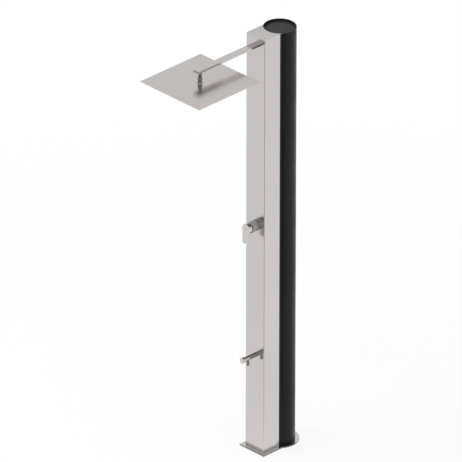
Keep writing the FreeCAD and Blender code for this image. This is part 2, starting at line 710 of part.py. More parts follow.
def arm():
    half_x = S.arm_width / 2
    half_z = S.arm_height / 2
    inner_end = front + S.arm_inside
    length = S.arm_inside + S.arm_reach
    bar = doc.addObject("PartDesign::Body", "bar")
    pad(bar, length, outline=[(-half_x, -half_z), (half_x, -half_z), (half_x, half_z), (-half_x, half_z)])
    fillet(bar, S.arm_corner, upright)
    bore_x = half_x - S.arm_wall
    bore_z = half_z - S.arm_wall
    pocket(bar, length - S.arm_wall, outline=[
        (-bore_x, -bore_z), (bore_x, -bore_z), (bore_x, bore_z), (-bore_x, bore_z)])
    place(bar, (0, inner_end, arm_level), "front")
    outlet = rod(S.ball_neck, S.arm_height, (0, head_y, arm_level - S.arm_height))
    keep(cut(bar, outlet), "shower_arm")

    plate_x = S.arm_flange_width / 2
    plate_z = S.arm_flange_height / 2
    plate_back = inner_front + S.bracket_sheet
    slot_x = half_x + S.slip_gap
    slot_z = half_z + S.slip_gap
    plate = block((-plate_x, inner_front, arm_level - plate_z), (plate_x, plate_back, arm_level + plate_z))
    slot = block((-slot_x, inner_front, arm_level - slot_z), (slot_x, plate_back, arm_level + slot_z))
    spots = [(S.arm_stud_spacing_side * (i / 2), arm_level + S.arm_stud_spacing_up * (k / 2))
             for i in (-1, 1) for k in (-1, 1)]
    holes = [rod(S.arm_stud_radius + S.slip_gap, S.bracket_sheet, (x, plate_back, z), "front")
             for x, z in spots]
    keep(cut(plate, slot, *holes), "arm_flange")
    studs = doc.addObject("Part::Compound", "studs")
    studs.Links = [rod(S.arm_stud_radius, S.arm_stud_length,
                       (x, inner_front + S.arm_stud_length, z), "front")
                   for x, z in spots]
    keep(studs, "arm_studs")
    nuts = doc.addObject("Part::Compound", "nuts")
    nuts.Links = [cut(hexagon(S.hex_corner, S.hex_nut, (x, plate_back + S.hex_nut, z), "front"),
                      rod(S.arm_stud_radius, S.hex_nut, (x, plate_back + S.hex_nut, z), "front"))
                  for x, z in spots]
    keep(nuts, "arm_flange_nuts")

    # The inlet block closes the inner end of the arm and takes the riser from below.
    depth = S.manifold_depth / 2
    height = S.manifold_height / 2
    keep(block((-half_x, inner_end, arm_level - height), (half_x, pipe_y + depth, arm_level + half_z)),
         "arm_inlet")

    neck_length = S.ball_drop - S.arm_height / 2 - S.stem_length
    stem_low = arm_level - S.arm_height / 2 - S.stem_length
    stem = join(rod(S.stem_radius, S.stem_length, (0, head_y, stem_low)),
                rod(S.ball_neck, neck_length, (0, head_y, ball_level)),
                ball(S.ball_radius, (0, head_y, ball_level)))
    water_way = rod(S.ball_neck / 2, S.ball_drop + S.ball_radius,
                    (0, head_y, ball_level - S.ball_radius))
    keep(cut(stem, water_way), "arm_stem")


def rain_head():
    seat_in = S.ball_radius + S.running_gap
    seat_out = seat_in + S.seat_wall
    centre = (0, head_y, ball_level)
    band = S.seat_outer_height - S.seat_inner_height
    for node, low in (("ball_seat_upper", ball_level + S.seat_inner_height),
                      ("ball_seat_lower", ball_level - S.seat_outer_height)):
        slab = rod(seat_out, band, (0, head_y, low))
        common = doc.addObject("Part::Common", "band")
        common.Base = slab
        common.Tool = ball(seat_out, centre)
        keep(cut(common, ball(seat_in, centre), rod(S.seat_mouth, band, (0, head_y, low))), node)

    nut_low = head_top + S.collar_thickness
    nut_height = ball_level + S.nut_above - nut_low
    socket = seat_out + S.running_gap
    nut = rod(S.nut_radius, nut_height, (0, head_y, nut_low))
    below = rod(socket, ball_level - nut_low, (0, head_y, nut_low))
    mouth = rod(S.nut_mouth, S.nut_above, (0, head_y, ball_level))
    keep(cut(nut, ball(socket, centre), below, mouth), "head_swivel_nut")

    collar = join(rod(S.collar_radius, S.collar_thickness, (0, head_y, head_top)),
                  rod(socket - S.running_gap, S.collar_spigot - S.collar_thickness,
                      (0, head_y, nut_low)))
    keep(cut(collar, rod(S.pipe_bore, S.collar_spigot, (0, head_y, head_top))), "head_collar")

    half = S.head_side / 2
    plate = doc.addObject("PartDesign::Body", "plate")
    pad(plate, S.head_sheet, outline=[(-half, -half), (half, -half), (half, half), (-half, half)])
    fillet(plate, S.head_corner, upright)
    pocket(plate, S.head_sheet, circle=(S.pipe_bore,))
    place(plate, (0, head_y, head_top - S.head_sheet))
    keep(plate, "head_plate")

    tray_half = S.tray_side / 2
    tray_in = tray_half - S.tray_wall
    tray_top = head_top - S.head_sheet
    tray_low = tray_top - S.tray_depth
    tray = doc.addObject("PartDesign::Body", "tray")
    pad(tray, S.tray_depth, outline=[
        (-tray_half, -tray_half), (tray_half, -tray_half), (tray_half, tray_half), (-tray_half, tray_half)])
    fillet(tray, S.head_corner, upright)
    place(tray, (0, head_y, tray_low))
    hollow = block((-tray_in, head_y - tray_in, tray_low + S.tray_wall),
                   (tray_in, head_y + tray_in, tray_top))
    keep(cut(tray, hollow), "head_nozzle_plate")

    # Soft nozzles stand in a square grid on the underside of the tray.
    count = int(S.nozzle_count.value)
    first = -S.nozzle_spacing.value * (count - 1) / 2
    down = FreeCAD.Vector(0, 0, -1)
    cones = []
    for column_index in range(count):
        for row_index in range(count):
            x = first + column_index * S.nozzle_spacing.value
            y = head_y.value + first + row_index * S.nozzle_spacing.value
            cones.append(Part.makeCone(S.nozzle_radius.value, S.nozzle_tip.value,
                                       S.nozzle_length.value,
                                       FreeCAD.Vector(x, y, tray_low.value), down))
    nozzles = doc.addObject("Part::Feature", "nozzles")
    nozzles.Shape = Part.makeCompound(cones)
    keep(nozzles, "head_nozzles")


def mixer():
    start = front + S.mixer_shank_length
    at = (0, start, mixer_level)
    face = S.mixer_shank_length + S.gasket
    floor = S.mixer_shank_length + S.mixer_floor
    tip = S.mixer_shank_length + S.mixer_front_low
    chamber = S.cartridge_radius + S.slip_gap
    body = turned([
        (0, 0), (S.mixer_shank, 0), (S.mixer_shank, face), (S.mixer_radius, face),
        (S.mixer_radius, tip), (chamber, tip), (chamber, floor), (0, floor)], at, "front")
    high = S.mixer_shank_length + S.mixer_front_high
    beyond = S.mixer_radius + S.cutter_margin
    across = beyond * 2
    pocket(body, across, role="YZ_Plane", both_ways=True, outline=[
        (-S.mixer_radius, tip), (S.mixer_radius, high), (beyond, high), (beyond, tip + S.gasket),
        (-S.mixer_radius, tip + S.gasket)])
    keep(body, "mixer_body")

    keep(tube(S.mixer_radius - S.gasket, S.mixer_shank + S.slip_gap, S.gasket,
              (0, front, mixer_level), "front"), "mixer_gasket")
    nut_length = S.mixer_floor
    nut_at = (0, inner_front + nut_length, mixer_level)
    keep(cut(hexagon(S.mixer_radius, nut_length, nut_at, "front"),
             rod(S.mixer_shank, nut_length, nut_at, "front")), "mixer_backnut")

    cartridge_y = front - S.mixer_floor
    keep(rod(S.cartridge_radius, S.cartridge_length, (0, cartridge_y, mixer_level), "front"),
         "mixer_cartridge")
    ring_y = cartridge_y - S.cartridge_length
    keep(tube(S.cartridge_radius, S.turret_radius, S.cartridge_nut, (0, ring_y, mixer_level), "front"),
         "mixer_cartridge_nut")

    turret_radius = S.turret_radius - S.running_gap
    turret_y = ring_y - S.running_gap
    slot_half = S.lever_pin + S.running_gap
    turret = rod(turret_radius, S.turret_length, (0, turret_y, mixer_level), "front")
    slot = block((-slot_half, turret_y - S.turret_length, mixer_level - S.turret_slot),
                 (slot_half, front - S.lever_pin_root + S.lever_pin, mixer_level + S.turret_slot))
    keep(cut(turret, slot), "mixer_turret")
    pin_end = S.handle_front - S.handle_face
    pin = join(ball(S.lever_pin, (0, front - S.lever_pin_root, mixer_level)),
               rod(S.lever_pin, pin_end - S.lever_pin_root,
                   (0, front - S.lever_pin_root, mixer_level), "front"))
    keep(pin, "mixer_lever_pin")

    rear = S.handle_rear_high - S.cutter_margin
    depth = S.handle_front - rear
    inside = depth - S.handle_face
    wall = S.mixer_radius - S.handle_wall
    boss_start = S.handle_rear_low - rear
    cap = turned([
        (0, depth), (S.mixer_radius, depth), (S.mixer_radius, 0), (wall, 0), (wall, inside),
        (S.handle_boss, inside), (S.handle_boss, boss_start), (S.lever_pin, boss_start),
        (S.lever_pin, inside), (0, inside)], (0, front - rear, mixer_level), "front")
    pocket(cap, across, role="YZ_Plane", both_ways=True, outline=[
        (-beyond, S.handle_rear_low - rear), (beyond, S.handle_rear_high - rear),
        (beyond, -S.gasket), (-beyond, -S.gasket)])
    half = S.blade_width / 2
    blade = doc.addObject("PartDesign::Body", "blade")
    pad(blade, S.blade_thickness, outline=[
        (-half, -S.blade_drop), (half, -S.blade_drop), (half, 0), (-half, 0)])
    fillet(blade, S.blade_corner, front_corner(-S.blade_drop))
    low_edge = -S.blade_drop.value * 0.5
    fillet(blade, S.blade_edge, lambda edge: not upright(edge) and edge.BoundBox.YMin < low_edge
           and edge.BoundBox.ZLength < 1e-6)
    place(blade, (0, front - S.handle_front + S.blade_thickness, mixer_level), "front")
    pin_hole = rod(S.lever_pin, pin_end - S.handle_rear_low,
                   (0, front - S.handle_rear_low, mixer_level), "front")
    screw_y = front - (S.handle_rear_low + S.handle_front - S.blade_thickness) / 2
    key_hole = rod(S.grub_screw, S.mixer_radius, (0, screw_y, mixer_level - S.mixer_radius))
    keep(cut(join(cap, blade), pin_hole, key_hole), "mixer_handle")
    screw = rod(S.grub_screw, S.handle_boss - S.lever_pin,
                (0, screw_y, mixer_level - S.handle_boss))
    keep(screw, "mixer_grub_screw")


def foot_tap():
    start = front + S.tap_shank_length
    at = (0, start, tap_level)
    face = S.tap_shank_length + S.gasket
    tip = S.tap_shank_length + S.tap_length
    floor = S.tap_shank_length + S.tap_chamber_floor
    body = turned([
        (0, 0), (S.tap_shank, 0), (S.tap_shank, face), (S.tap_radius, face), (S.tap_radius, tip),
        (S.tap_chamber, tip), (S.tap_chamber, floor), (0, floor)], at, "front")
    spout_y = front - S.spout_reach
    port = rod(S.spout_bore, S.tap_radius, (0, spout_y, tap_level - S.tap_radius))
    keep(cut(body, port), "foot_tap_body")

    keep(tube(S.tap_radius - S.gasket / 2, S.tap_shank + S.slip_gap, S.gasket,
              (0, front, tap_level), "front"), "foot_tap_gasket")
    nut_length = S.pipe_radius
    nut_at = (0, inner_front + nut_length, tap_level)
    keep(cut(hexagon(S.knob_radius, nut_length, nut_at, "front"),
             rod(S.tap_shank, nut_length, nut_at, "front")), "foot_tap_backnut")

    spout_low = tap_level - S.spout_drop + S.aerator_length / 2
    spout = cut(tube(S.spout_radius, S.spout_bore, tap_level - spout_low, (0, spout_y, spout_low)),
                rod(S.tap_radius, S.tap_length, (0, front, tap_level), "front"))
    keep(spout, "foot_tap_spout")
    aerator = tube(S.aerator_radius, S.spout_bore, S.aerator_length / 2,
                   (0, spout_y, spout_low - S.aerator_length / 2))
    sleeve = tube(S.aerator_radius, S.spout_radius, S.aerator_length / 2, (0, spout_y, spout_low))
    keep(join(aerator, sleeve), "foot_tap_aerator")

    valve_y = front - S.tap_chamber_floor
    valve_length = S.tap_length - S.tap_chamber_floor - S.valve_nose
    valve = tube(S.tap_chamber, S.spindle_radius + S.running_gap, valve_length,
                 (0, valve_y, tap_level), "front")
    keep(valve, "foot_tap_valve")

    knob_start = S.tap_length + S.knob_gap
    spindle_start = S.tap_chamber_floor + S.running_gap
    spindle_end = knob_start + S.knob_length / 2
    keep(rod(S.spindle_radius, spindle_end - spindle_start,
             (0, front - spindle_start, tap_level), "front"), "foot_tap_spindle")

    knob = doc.addObject("PartDesign::Body", "knob")
    pad(knob, S.knob_length, circle=(S.knob_radius,))
    fillet(knob, S.knob_edge, lambda edge: edge.Curve.TypeId == "Part::GeomCircle")
    flute = pocket(knob, S.knob_length, circle=(S.knob_flute, (S.knob_radius + S.knob_flute_out, 0)))
    ring = body_pattern(knob, flute, S.knob_flute_count)
    knob.Tip = ring
    pocket(knob, S.knob_length / 2, circle=(S.spindle_radius,))
    place(knob, (0, front - knob_start, tap_level), "front")
    keep(knob, "foot_tap_knob")


def body_pattern(body, feature, count):
    """Repeat a feature round the body's own Z axis."""
    pattern = body.newObject("PartDesign::PolarPattern", "pattern")
    pattern.Originals = [feature]
    axis = next(item for item in body.Origin.OriginFeatures if item.Role == "Z_Axis")
    pattern.Axis = (axis, [""])
    pattern.Angle = 360
    pattern.setExpression("Occurrences", count.formula)
    body.Tip = pattern
    doc.recompute()
    return pattern


base_and_foot()
column()
tank()
tank_brackets()
plumbing()
arm()
rain_head()
mixer()
foot_tap()
doc.recompute()

for item in doc.Objects:
    if "Invalid" in item.State or "Error" in item.State:
        raise ValueError(f"{item.Label} failed: {item.State}")
for item in NODES:
    if item.Shape.isNull() or not item.Shape.isValid():
        raise ValueError(f"{item.Label} has no valid shape")

os.makedirs("parts", exist_ok=True)
for item in NODES:
    item.Shape.exportStep(f"parts/{item.Label}.step")
print(f"{len(NODES)} sub-parts written")
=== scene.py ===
import json
import math

import bmesh
import bpy
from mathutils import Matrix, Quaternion, Vector
from mathutils.bvhtree import BVHTree


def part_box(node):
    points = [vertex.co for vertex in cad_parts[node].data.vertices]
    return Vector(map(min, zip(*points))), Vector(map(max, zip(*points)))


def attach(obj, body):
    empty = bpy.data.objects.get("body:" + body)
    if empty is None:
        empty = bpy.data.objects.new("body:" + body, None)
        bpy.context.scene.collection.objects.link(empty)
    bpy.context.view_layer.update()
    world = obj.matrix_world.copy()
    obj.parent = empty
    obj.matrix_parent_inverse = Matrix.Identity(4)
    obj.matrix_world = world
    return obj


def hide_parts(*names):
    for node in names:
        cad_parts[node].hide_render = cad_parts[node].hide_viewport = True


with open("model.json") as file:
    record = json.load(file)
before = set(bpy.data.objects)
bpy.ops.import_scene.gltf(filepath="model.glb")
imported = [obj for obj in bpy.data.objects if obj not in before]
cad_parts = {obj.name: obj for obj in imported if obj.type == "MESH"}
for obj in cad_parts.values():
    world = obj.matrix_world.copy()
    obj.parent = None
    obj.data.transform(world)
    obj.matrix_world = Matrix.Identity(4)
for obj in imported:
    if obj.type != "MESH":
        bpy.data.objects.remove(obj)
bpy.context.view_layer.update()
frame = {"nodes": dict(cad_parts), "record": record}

# Outdoor solar shower post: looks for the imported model. Lengths are in metres. Those of rounded
# edges, nozzles, grip ridges and the weld bead are in millimetres.

MILLIMETRE = 0.001

# ---- the photograph's view --------------------------------------------------------------

PHOTO_WIDTH = 462
METRES_PER_PIXEL = 0.0047433
VIEW_AZIMUTH = 45.69
VIEW_ELEVATION = 28.5
VIEW_ROLL = 0.12
MIXER_ROOT_PIXEL = (255.1, 225.33)
LENS = 1600
SENSOR = 36
CLIP_START = 1
CLIP_END_IN_DISTANCES = 2


def view_axes():
    """Right, up and back of the photograph's camera, and its turn from Blender's own axes."""
    azimuth, elevation = math.radians(VIEW_AZIMUTH), math.radians(VIEW_ELEVATION)
    back = Vector((math.sin(azimuth) * math.cos(elevation),
                   -math.cos(azimuth) * math.cos(elevation),
                   math.sin(elevation)))
    turn = (-back).to_track_quat("-Z", "Y") @ Quaternion((0, 0, 1), math.radians(VIEW_ROLL))
    return turn @ Vector((1, 0, 0)), turn @ Vector((0, 1, 0)), back, turn


def make_camera():
    """The photograph's camera, aimed by the point where the mixer meets the column."""
    right, up, back, turn = view_axes()
    column_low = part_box("column_shell")[0]
    body_low, body_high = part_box("mixer_body")
    mixer_root = Vector(((body_low.x + body_high.x) / 2, column_low.y,
                         (body_low.z + body_high.z) / 2))
    middle = PHOTO_WIDTH / 2
    aim = (mixer_root
           - right * (MIXER_ROOT_PIXEL[0] - middle) * METRES_PER_PIXEL
           - up * (middle - MIXER_ROOT_PIXEL[1]) * METRES_PER_PIXEL)
    distance = METRES_PER_PIXEL * PHOTO_WIDTH * LENS / SENSOR
    data = bpy.data.cameras.new("photo_camera")
    data.lens = LENS
    data.sensor_width = SENSOR
    data.clip_start = CLIP_START
    data.clip_end = distance * CLIP_END_IN_DISTANCES
    camera = bpy.data.objects.new("photo_camera", data)
    bpy.context.scene.collection.objects.link(camera)
    camera.rotation_mode = "QUATERNION"
    camera.location = aim + back * distance
    camera.rotation_quaternion = turn
    bpy.context.scene.camera = camera


make_camera()

# ---- materials --------------------------------------------------------------------------

NOISE_MIDDLE = (0.35, 0.65)
COLOUR_MIDDLE = (0.3, 0.7)
WHITE = (1, 1, 1, 1)
STEEL_COLOUR = (0.578, 0.545, 0.527)
CHROME_COLOUR = (0.578, 0.56, 0.545)
GRAIN_ALONG = 0.008
GRAIN_HEIGHT = 0.004 * MILLIMETRE
# Painted shade: how much darker the plate's upright cut edge is coloured; only its dullness is
# real.
CUT_EDGE_PAINTED_SHADE = 0.38
CUT_EDGE_ROUGHNESS = 0.35


class Nodes:
    """A node tree, with short ways to add nodes and to feed their inputs."""

    def __init__(self, tree):
        self.tree = tree

    def node(self, kind, **settings):
        """A new node of this kind, with these settings."""
        made = self.tree.nodes.new(kind)
        for name, value in settings.items():
            setattr(made, name, value)
        return made

    def feed(self, value, target):
        """Links a socket to the target, or sets the target to a number, vector or colour."""
        if isinstance(value, bpy.types.NodeSocket):
            self.tree.links.new(value, target)
        else:
            target.default_value = value

    def ranged(self, value, source, target, **settings):
        """The value, moved from the source range to the target range."""
        made = self.node("ShaderNodeMapRange", **settings)
        self.feed(value, made.inputs["Value"])
        self.feed(source[0], made.inputs["From Min"])
        self.feed(source[1], made.inputs["From Max"])
        self.feed(target[0], made.inputs["To Min"])
        self.feed(target[1], made.inputs["To Max"])
        return made.outputs["Result"]

    def calculate(self, operation, *values):
        """An operation on one or two numbers."""
        made = self.node("ShaderNodeMath", operation=operation)
        for value, target in zip(values, made.inputs):
            self.feed(value, target)
        return made.outputs["Value"]

    def vector(self, operation, *values):
        """An operation on one or two vectors. A length and a dot product give a number."""
        made = self.node("ShaderNodeVectorMath", operation=operation)
        for value, target in zip(values, made.inputs):
            self.feed(value, target)
        return made.outputs["Value" if operation in ("LENGTH", "DOT_PRODUCT") else "Vector"]

    def either(self, factor, first, second):
        """The first value where the factor is 0, the second where it is 1."""
        made = self.node("ShaderNodeMix")
        self.feed(factor, made.inputs["Factor"])
        self.feed(first, made.inputs["A"])
        self.feed(second, made.inputs["B"])
        return made.outputs["Result"]


class Finish(Nodes):
    """A node material with one Principled shader and helpers for its patterns."""

    def __init__(self, name, colour, roughness, **sockets):
        self.material = bpy.data.materials.new(name)
        self.material.use_nodes = True
        super().__init__(self.material.node_tree)
        self.shader = self.tree.nodes["Principled BSDF"]
        self.colour = colour
        self.shader.inputs["Base Color"].default_value = (*colour, 1)
        self.shader.inputs["Roughness"].default_value = roughness
        for socket, value in sockets.items():
            self.shader.inputs[socket.replace("_", " ")].default_value = value

    def place(self):
        """The point on the piece, in its own metres."""
        return self.node("ShaderNodeTexCoord").outputs["Object"]

    def noise(self, cells, stretch=(1, 1, 1), detail=4):
        """A noise pattern with so many cells in a metre."""
        mapping = self.node("ShaderNodeMapping")
        pattern = self.node("ShaderNodeTexNoise")
        self.feed(self.place(), mapping.inputs["Vector"])
        self.feed(stretch, mapping.inputs["Scale"])
        self.feed(mapping.outputs["Vector"], pattern.inputs["Vector"])
        self.feed(cells, pattern.inputs["Scale"])
        self.feed(detail, pattern.inputs["Detail"])
        return pattern.outputs["Fac"]

    def spread(self, pattern, low, high):
        """The pattern's middle range, spread from low to high."""
        return self.ranged(pattern, NOISE_MIDDLE, (low, high))

    def vary_roughness(self, pattern, low, high):
        self.feed(self.spread(pattern, low, high), self.shader.inputs["Roughness"])

    def vary_colour(self, pattern, darker, lighter):
        """The base colour times darker to times lighter, by the pattern."""
        ramp = self.node("ShaderNodeValToRGB")
        stops = ramp.color_ramp.elements
        for stop, position, shade in zip(stops, COLOUR_MIDDLE, (darker, lighter)):
            stop.position = position
            stop.color = (*(part * shade for part in self.colour), 1)
        self.feed(pattern, ramp.inputs["Fac"])
        self.feed(ramp.outputs["Color"], self.shader.inputs["Base Color"])

    def bump(self, pattern, height):
        raised = self.node("ShaderNodeBump")
        self.feed(height, raised.inputs["Distance"])
        self.feed(pattern, raised.inputs["Height"])
        self.feed(raised.outputs["Normal"], self.shader.inputs["Normal"])


def brushed_steel(name, along, colour=STEEL_COLOUR, roughness=(0.13, 0.2)):
    """Satin stainless steel, its grain along one axis: 0, 1 or 2."""
    finish = Finish(name, colour, roughness[0], Metallic=1.0)
    stretch = [1.0, 1.0, 1.0]
    stretch[along] = GRAIN_ALONG
    grain = finish.noise(cells=2200, stretch=stretch, detail=3)
    clouds = finish.noise(cells=3, detail=2)
    finish.vary_roughness(grain, *roughness)
    finish.vary_colour(clouds, darker=0.985, lighter=1.015)
    finish.bump(grain, GRAIN_HEIGHT)
    return finish.material


def polished_plate(name):
    """Mirror steel on the flat faces, and a dull cut edge round them, its colour darkened as
    painted shade.
    """
    finish = Finish(name, CHROME_COLOUR, roughness=0.05, Metallic=1.0)
    place = finish.node("ShaderNodeTexCoord")
    tilt = finish.node("ShaderNodeSeparateXYZ")
    finish.feed(place.outputs["Normal"], tilt.inputs["Vector"])
    flat = finish.calculate("ABSOLUTE", tilt.outputs["Z"])
    edge = finish.spread(flat, low=CUT_EDGE_ROUGHNESS, high=0)
    polish = finish.spread(finish.noise(cells=18, detail=5), low=0.03, high=0.07)
    finish.feed(finish.calculate("ADD", edge, polish), finish.shader.inputs["Roughness"])
    # Painted shade: the upright faces get a darker colour by their tilt.
    finish.vary_colour(flat, darker=CUT_EDGE_PAINTED_SHADE, lighter=1)
    return finish.material


def chrome(name, colour=CHROME_COLOUR, roughness=(0.05, 0.1), metal=1.0):
    finish = Finish(name, colour, roughness[0], Metallic=metal)
    finish.vary_roughness(finish.noise(cells=60, detail=5), *roughness)
    finish.vary_colour(finish.noise(cells=35, detail=2), darker=0.98, lighter=1.02)
    return finish.material


def zinc_steel(name):
    """Dull steel with the spangle of its zinc."""
    finish = Finish(name, colour=(0.38, 0.39, 0.4), roughness=0.35, Metallic=1.0)
    spangle = finish.node("ShaderNodeTexVoronoi")
    spangle.inputs["Scale"].default_value = 220
    finish.feed(finish.place(), spangle.inputs["Vector"])
    finish.vary_colour(spangle.outputs["Distance"], darker=0.9, lighter=1.08)
    finish.vary_roughness(finish.noise(cells=90), low=0.28, high=0.42)
    return finish.material


def matt_plastic(name, colour, roughness, grain_height, level=0.5):
    """Plastic with a fine grain, its height in millimetres."""
    finish = Finish(name, colour, roughness[0], Specular_IOR_Level=level)
    finish.vary_roughness(finish.noise(cells=9, detail=3), *roughness)
    finish.vary_colour(finish.noise(cells=14, detail=4), darker=0.94, lighter=1.06)
    finish.bump(finish.noise(cells=1400, detail=2), grain_height * MILLIMETRE)
    return finish.material


def rubber(name):
    finish = Finish(name, colour=(0.012, 0.012, 0.012), roughness=0.6, Specular_IOR_Level=0.3)
    finish.vary_roughness(finish.noise(cells=70), low=0.55, high=0.7)
    finish.bump(finish.noise(cells=1100, detail=3), height=0.03 * MILLIMETRE)
    return finish.material


def turned_brass(name):
    finish = Finish(name, colour=(0.6, 0.42, 0.16), roughness=0.25, Metallic=1.0)
    finish.vary_roughness(finish.noise(cells=160, stretch=(1, 8, 1)), low=0.18, high=0.32)
    finish.vary_colour(finish.noise(cells=20), darker=0.94, lighter=1.05)
    return finish.material


SLOT_MATERIALS = {
    "brushed_steel": brushed_steel("satin_steel", along=2),
    "polished_steel": polished_plate("mirror_steel"),
    "chrome": chrome("chrome_plate"),
    "dark_chrome": chrome("dark_chrome", colour=(0.26, 0.253, 0.246)),
    "zinc_steel": zinc_steel("mill_steel"),
    "black_tank": matt_plastic("tank_black", colour=(0.0102, 0.0102, 0.0102),
                               roughness=(0.3, 0.42), grain_height=0.02, level=0.15),
    "black_rubber": rubber("black_rubber"),
    "silicone": matt_plastic("grey_silicone", colour=(0.5, 0.5, 0.49),
                             roughness=(0.45, 0.55), grain_height=0.01),
    "brass": turned_brass("turned_brass"),
    "water_pipe": matt_plastic("pipe_white", colour=(0.7, 0.7, 0.68),
                               roughness=(0.35, 0.45), grain_height=0.005),
    "white_plastic": matt_plastic("acetal_white", colour=(0.78, 0.78, 0.75),
                                  roughness=(0.35, 0.45), grain_height=0.005),
}
HEAD_STEEL = brushed_steel("satin_steel_across", along=0, colour=(0.607, 0.572, 0.553),
                           roughness=(0.17, 0.26))
TOP_STEEL = brushed_steel("satin_steel_top", along=0, roughness=(0.16, 0.24))
ARM_STEEL = brushed_steel("satin_steel_deep", along=1)
MIXER_CHROME = chrome("satin_chrome", colour=(0.5, 0.487, 0.473), roughness=(0.5, 0.58),
                      metal=0.55)
TAP_CHROME = chrome("tap_chrome", colour=(0.5, 0.485, 0.475))
CAP_PLASTIC = matt_plastic("cap_black", colour=(0.022, 0.022, 0.022), roughness=(0.35, 0.45),
                           grain_height=0.02, level=0.25)


def dress(obj, material):
    """The object gets this material alone."""
    obj.data.materials.clear()
    obj.data.materials.append(material)


def dress_cad_nodes():
    """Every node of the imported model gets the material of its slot, or a near one of its own."""
    for part in frame["record"]["subparts"]:
        dress(frame["nodes"][part["node"]], SLOT_MATERIALS[part["material_slot"]])
    for node in ("head_plate", "head_nozzle_plate"):
        dress(frame["nodes"][node], HEAD_STEEL)
    dress(frame["nodes"]["column_top_cap"], TOP_STEEL)
    dress(frame["nodes"]["shower_arm"], ARM_STEEL)
    dress(frame["nodes"]["mixer_body"], MIXER_CHROME)
    dress(frame["nodes"]["foot_tap_body"], TAP_CHROME)
    dress(frame["nodes"]["tank_top_cap"], CAP_PLASTIC)


dress_cad_nodes()

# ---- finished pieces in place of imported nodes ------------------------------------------

WELD_DISTANCE = 0.002 * MILLIMETRE
SLIVER_DISTANCE = 0.01 * MILLIMETRE
JOINED_ANGLE = math.radians(2)
FLAT_ANGLE = math.radians(0.5)
SHARP_ANGLE = math.radians(28)
BEVEL_SEGMENTS = 2
BEVEL_PROFILE = 0.5
EDGE_ROUNDING = {
    "column_shell": 0.35,
    "column_top_cap": 0.35,
    "base_plate": 0.8,
    "head_plate": 0.4,
    "head_nozzle_plate": 0.4,
    "shower_arm": 0.3,
    "arm_stem": 0.5,
    "head_collar": 0.6,
    "mixer_body": 0.5,
    "mixer_handle": 0.25,
    "foot_tap_knob": 0.2,
    "foot_tap_body": 0.6,
    "foot_tap_spout": 0.6,
    "inlet_nipple": 0.5,
    "tank_tube": 0.9,
    "tank_top_cap": 0.8,
    "drain_plug": 0.6,
}
NOZZLE_SEGMENTS = 12
NOZZLE_PROFILE = [(0, 0), (2.6, 0), (2.4, -0.6), (1.8, -2.3), (1.4, -3), (0.8, -3), (0.6, -2),
                  (0, -2)]
NOZZLES_IN_A_ROW = 11
NUT_RIDGES = 28
NUT_RIDGE_DEPTH = 0.5
NUT_SEGMENTS_A_RIDGE = 4
NUT_MOUTH_OF_RADIUS = 0.66
NUT_SIDE_BAND = 0.1
WELD_RADIUS = 1.8
WELD_SEGMENTS = 12
WELD_END = 8


def body_of(node):
    bodies = frame["record"]["behaviour"]["bodies"]
    return next(body for body, nodes in bodies.items() if node in nodes)


def new_object(name, shape, material):
    """A new object from a bmesh, smooth apart from its sharp edges."""
    mesh = bpy.data.meshes.new(name)
    shape.to_mesh(mesh)
    shape.free()
    for face in mesh.polygons:
        face.use_smooth = True
    mesh.set_sharp_from_angle(angle=SHARP_ANGLE)
    mesh.materials.append(material)
    made = bpy.data.objects.new(name, mesh)
    bpy.context.scene.collection.objects.link(made)
    return made


def add_piece(name, shape, node):
    """A new piece from a bmesh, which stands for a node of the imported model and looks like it."""
    piece = new_object(name, shape, frame["nodes"][node].data.materials[0])
    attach(piece, body_of(node))
    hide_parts(node)
    return piece


def whole_faces(node):
    """The node's own shape, with the triangles of each flat face joined."""
    shape = bmesh.new()
    shape.from_mesh(frame["nodes"][node].data)
    bmesh.ops.remove_doubles(shape, verts=shape.verts, dist=WELD_DISTANCE)
    bmesh.ops.join_triangles(shape, faces=shape.faces, angle_face_threshold=JOINED_ANGLE,
                             angle_shape_threshold=math.pi)
    bmesh.ops.dissolve_limit(shape, angle_limit=FLAT_ANGLE, verts=shape.verts, edges=shape.edges,
                             use_dissolve_boundaries=False, delimit=set())
    return shape


def soften(node, rounding):
    """A copy of the node with its sharp edges rounded, or left sharp where rounding strays."""
    plain = whole_faces(node)
    skin = BVHTree.FromBMesh(plain)
    shape = plain.copy()
    sharp = [edge for edge in shape.edges
             if edge.is_manifold and edge.calc_face_angle() > SHARP_ANGLE]
    bmesh.ops.bevel(shape, geom=sharp, offset=rounding * MILLIMETRE, offset_type="ABSOLUTE",
                    affect="EDGES", segments=BEVEL_SEGMENTS, profile=BEVEL_PROFILE, material=-1,
                    clamp_overlap=False)
    bmesh.ops.dissolve_degenerate(shape, dist=SLIVER_DISTANCE, edges=shape.edges)
    strays = max(skin.find_nearest(vert.co)[3] for vert in shape.verts)
    if strays > rounding * MILLIMETRE:
        shape, plain = plain, shape
    plain.free()
    piece = add_piece(f"{node}_finished", shape, node)
    flat = piece.modifiers.new("flat_faces_first", "WEIGHTED_NORMAL")
    flat.keep_sharp = True


def lathe(profile, segments):
    """A shape from (radius, height) points in millimetres, spun round its own Z."""
    shape = bmesh.new()
    corners = [shape.verts.new((radius * MILLIMETRE, 0, height * MILLIMETRE))
               for radius, height in profile]
    edges = [shape.edges.new(pair) for pair in zip(corners, corners[1:])]
    bmesh.ops.spin(shape, geom=corners + edges, cent=(0, 0, 0), axis=(0, 0, 1), angle=math.tau,
                   steps=segments, use_merge=True)
    bmesh.ops.remove_doubles(shape, verts=shape.verts, dist=WELD_DISTANCE)
    bmesh.ops.recalc_face_normals(shape, faces=shape.faces)
    return shape


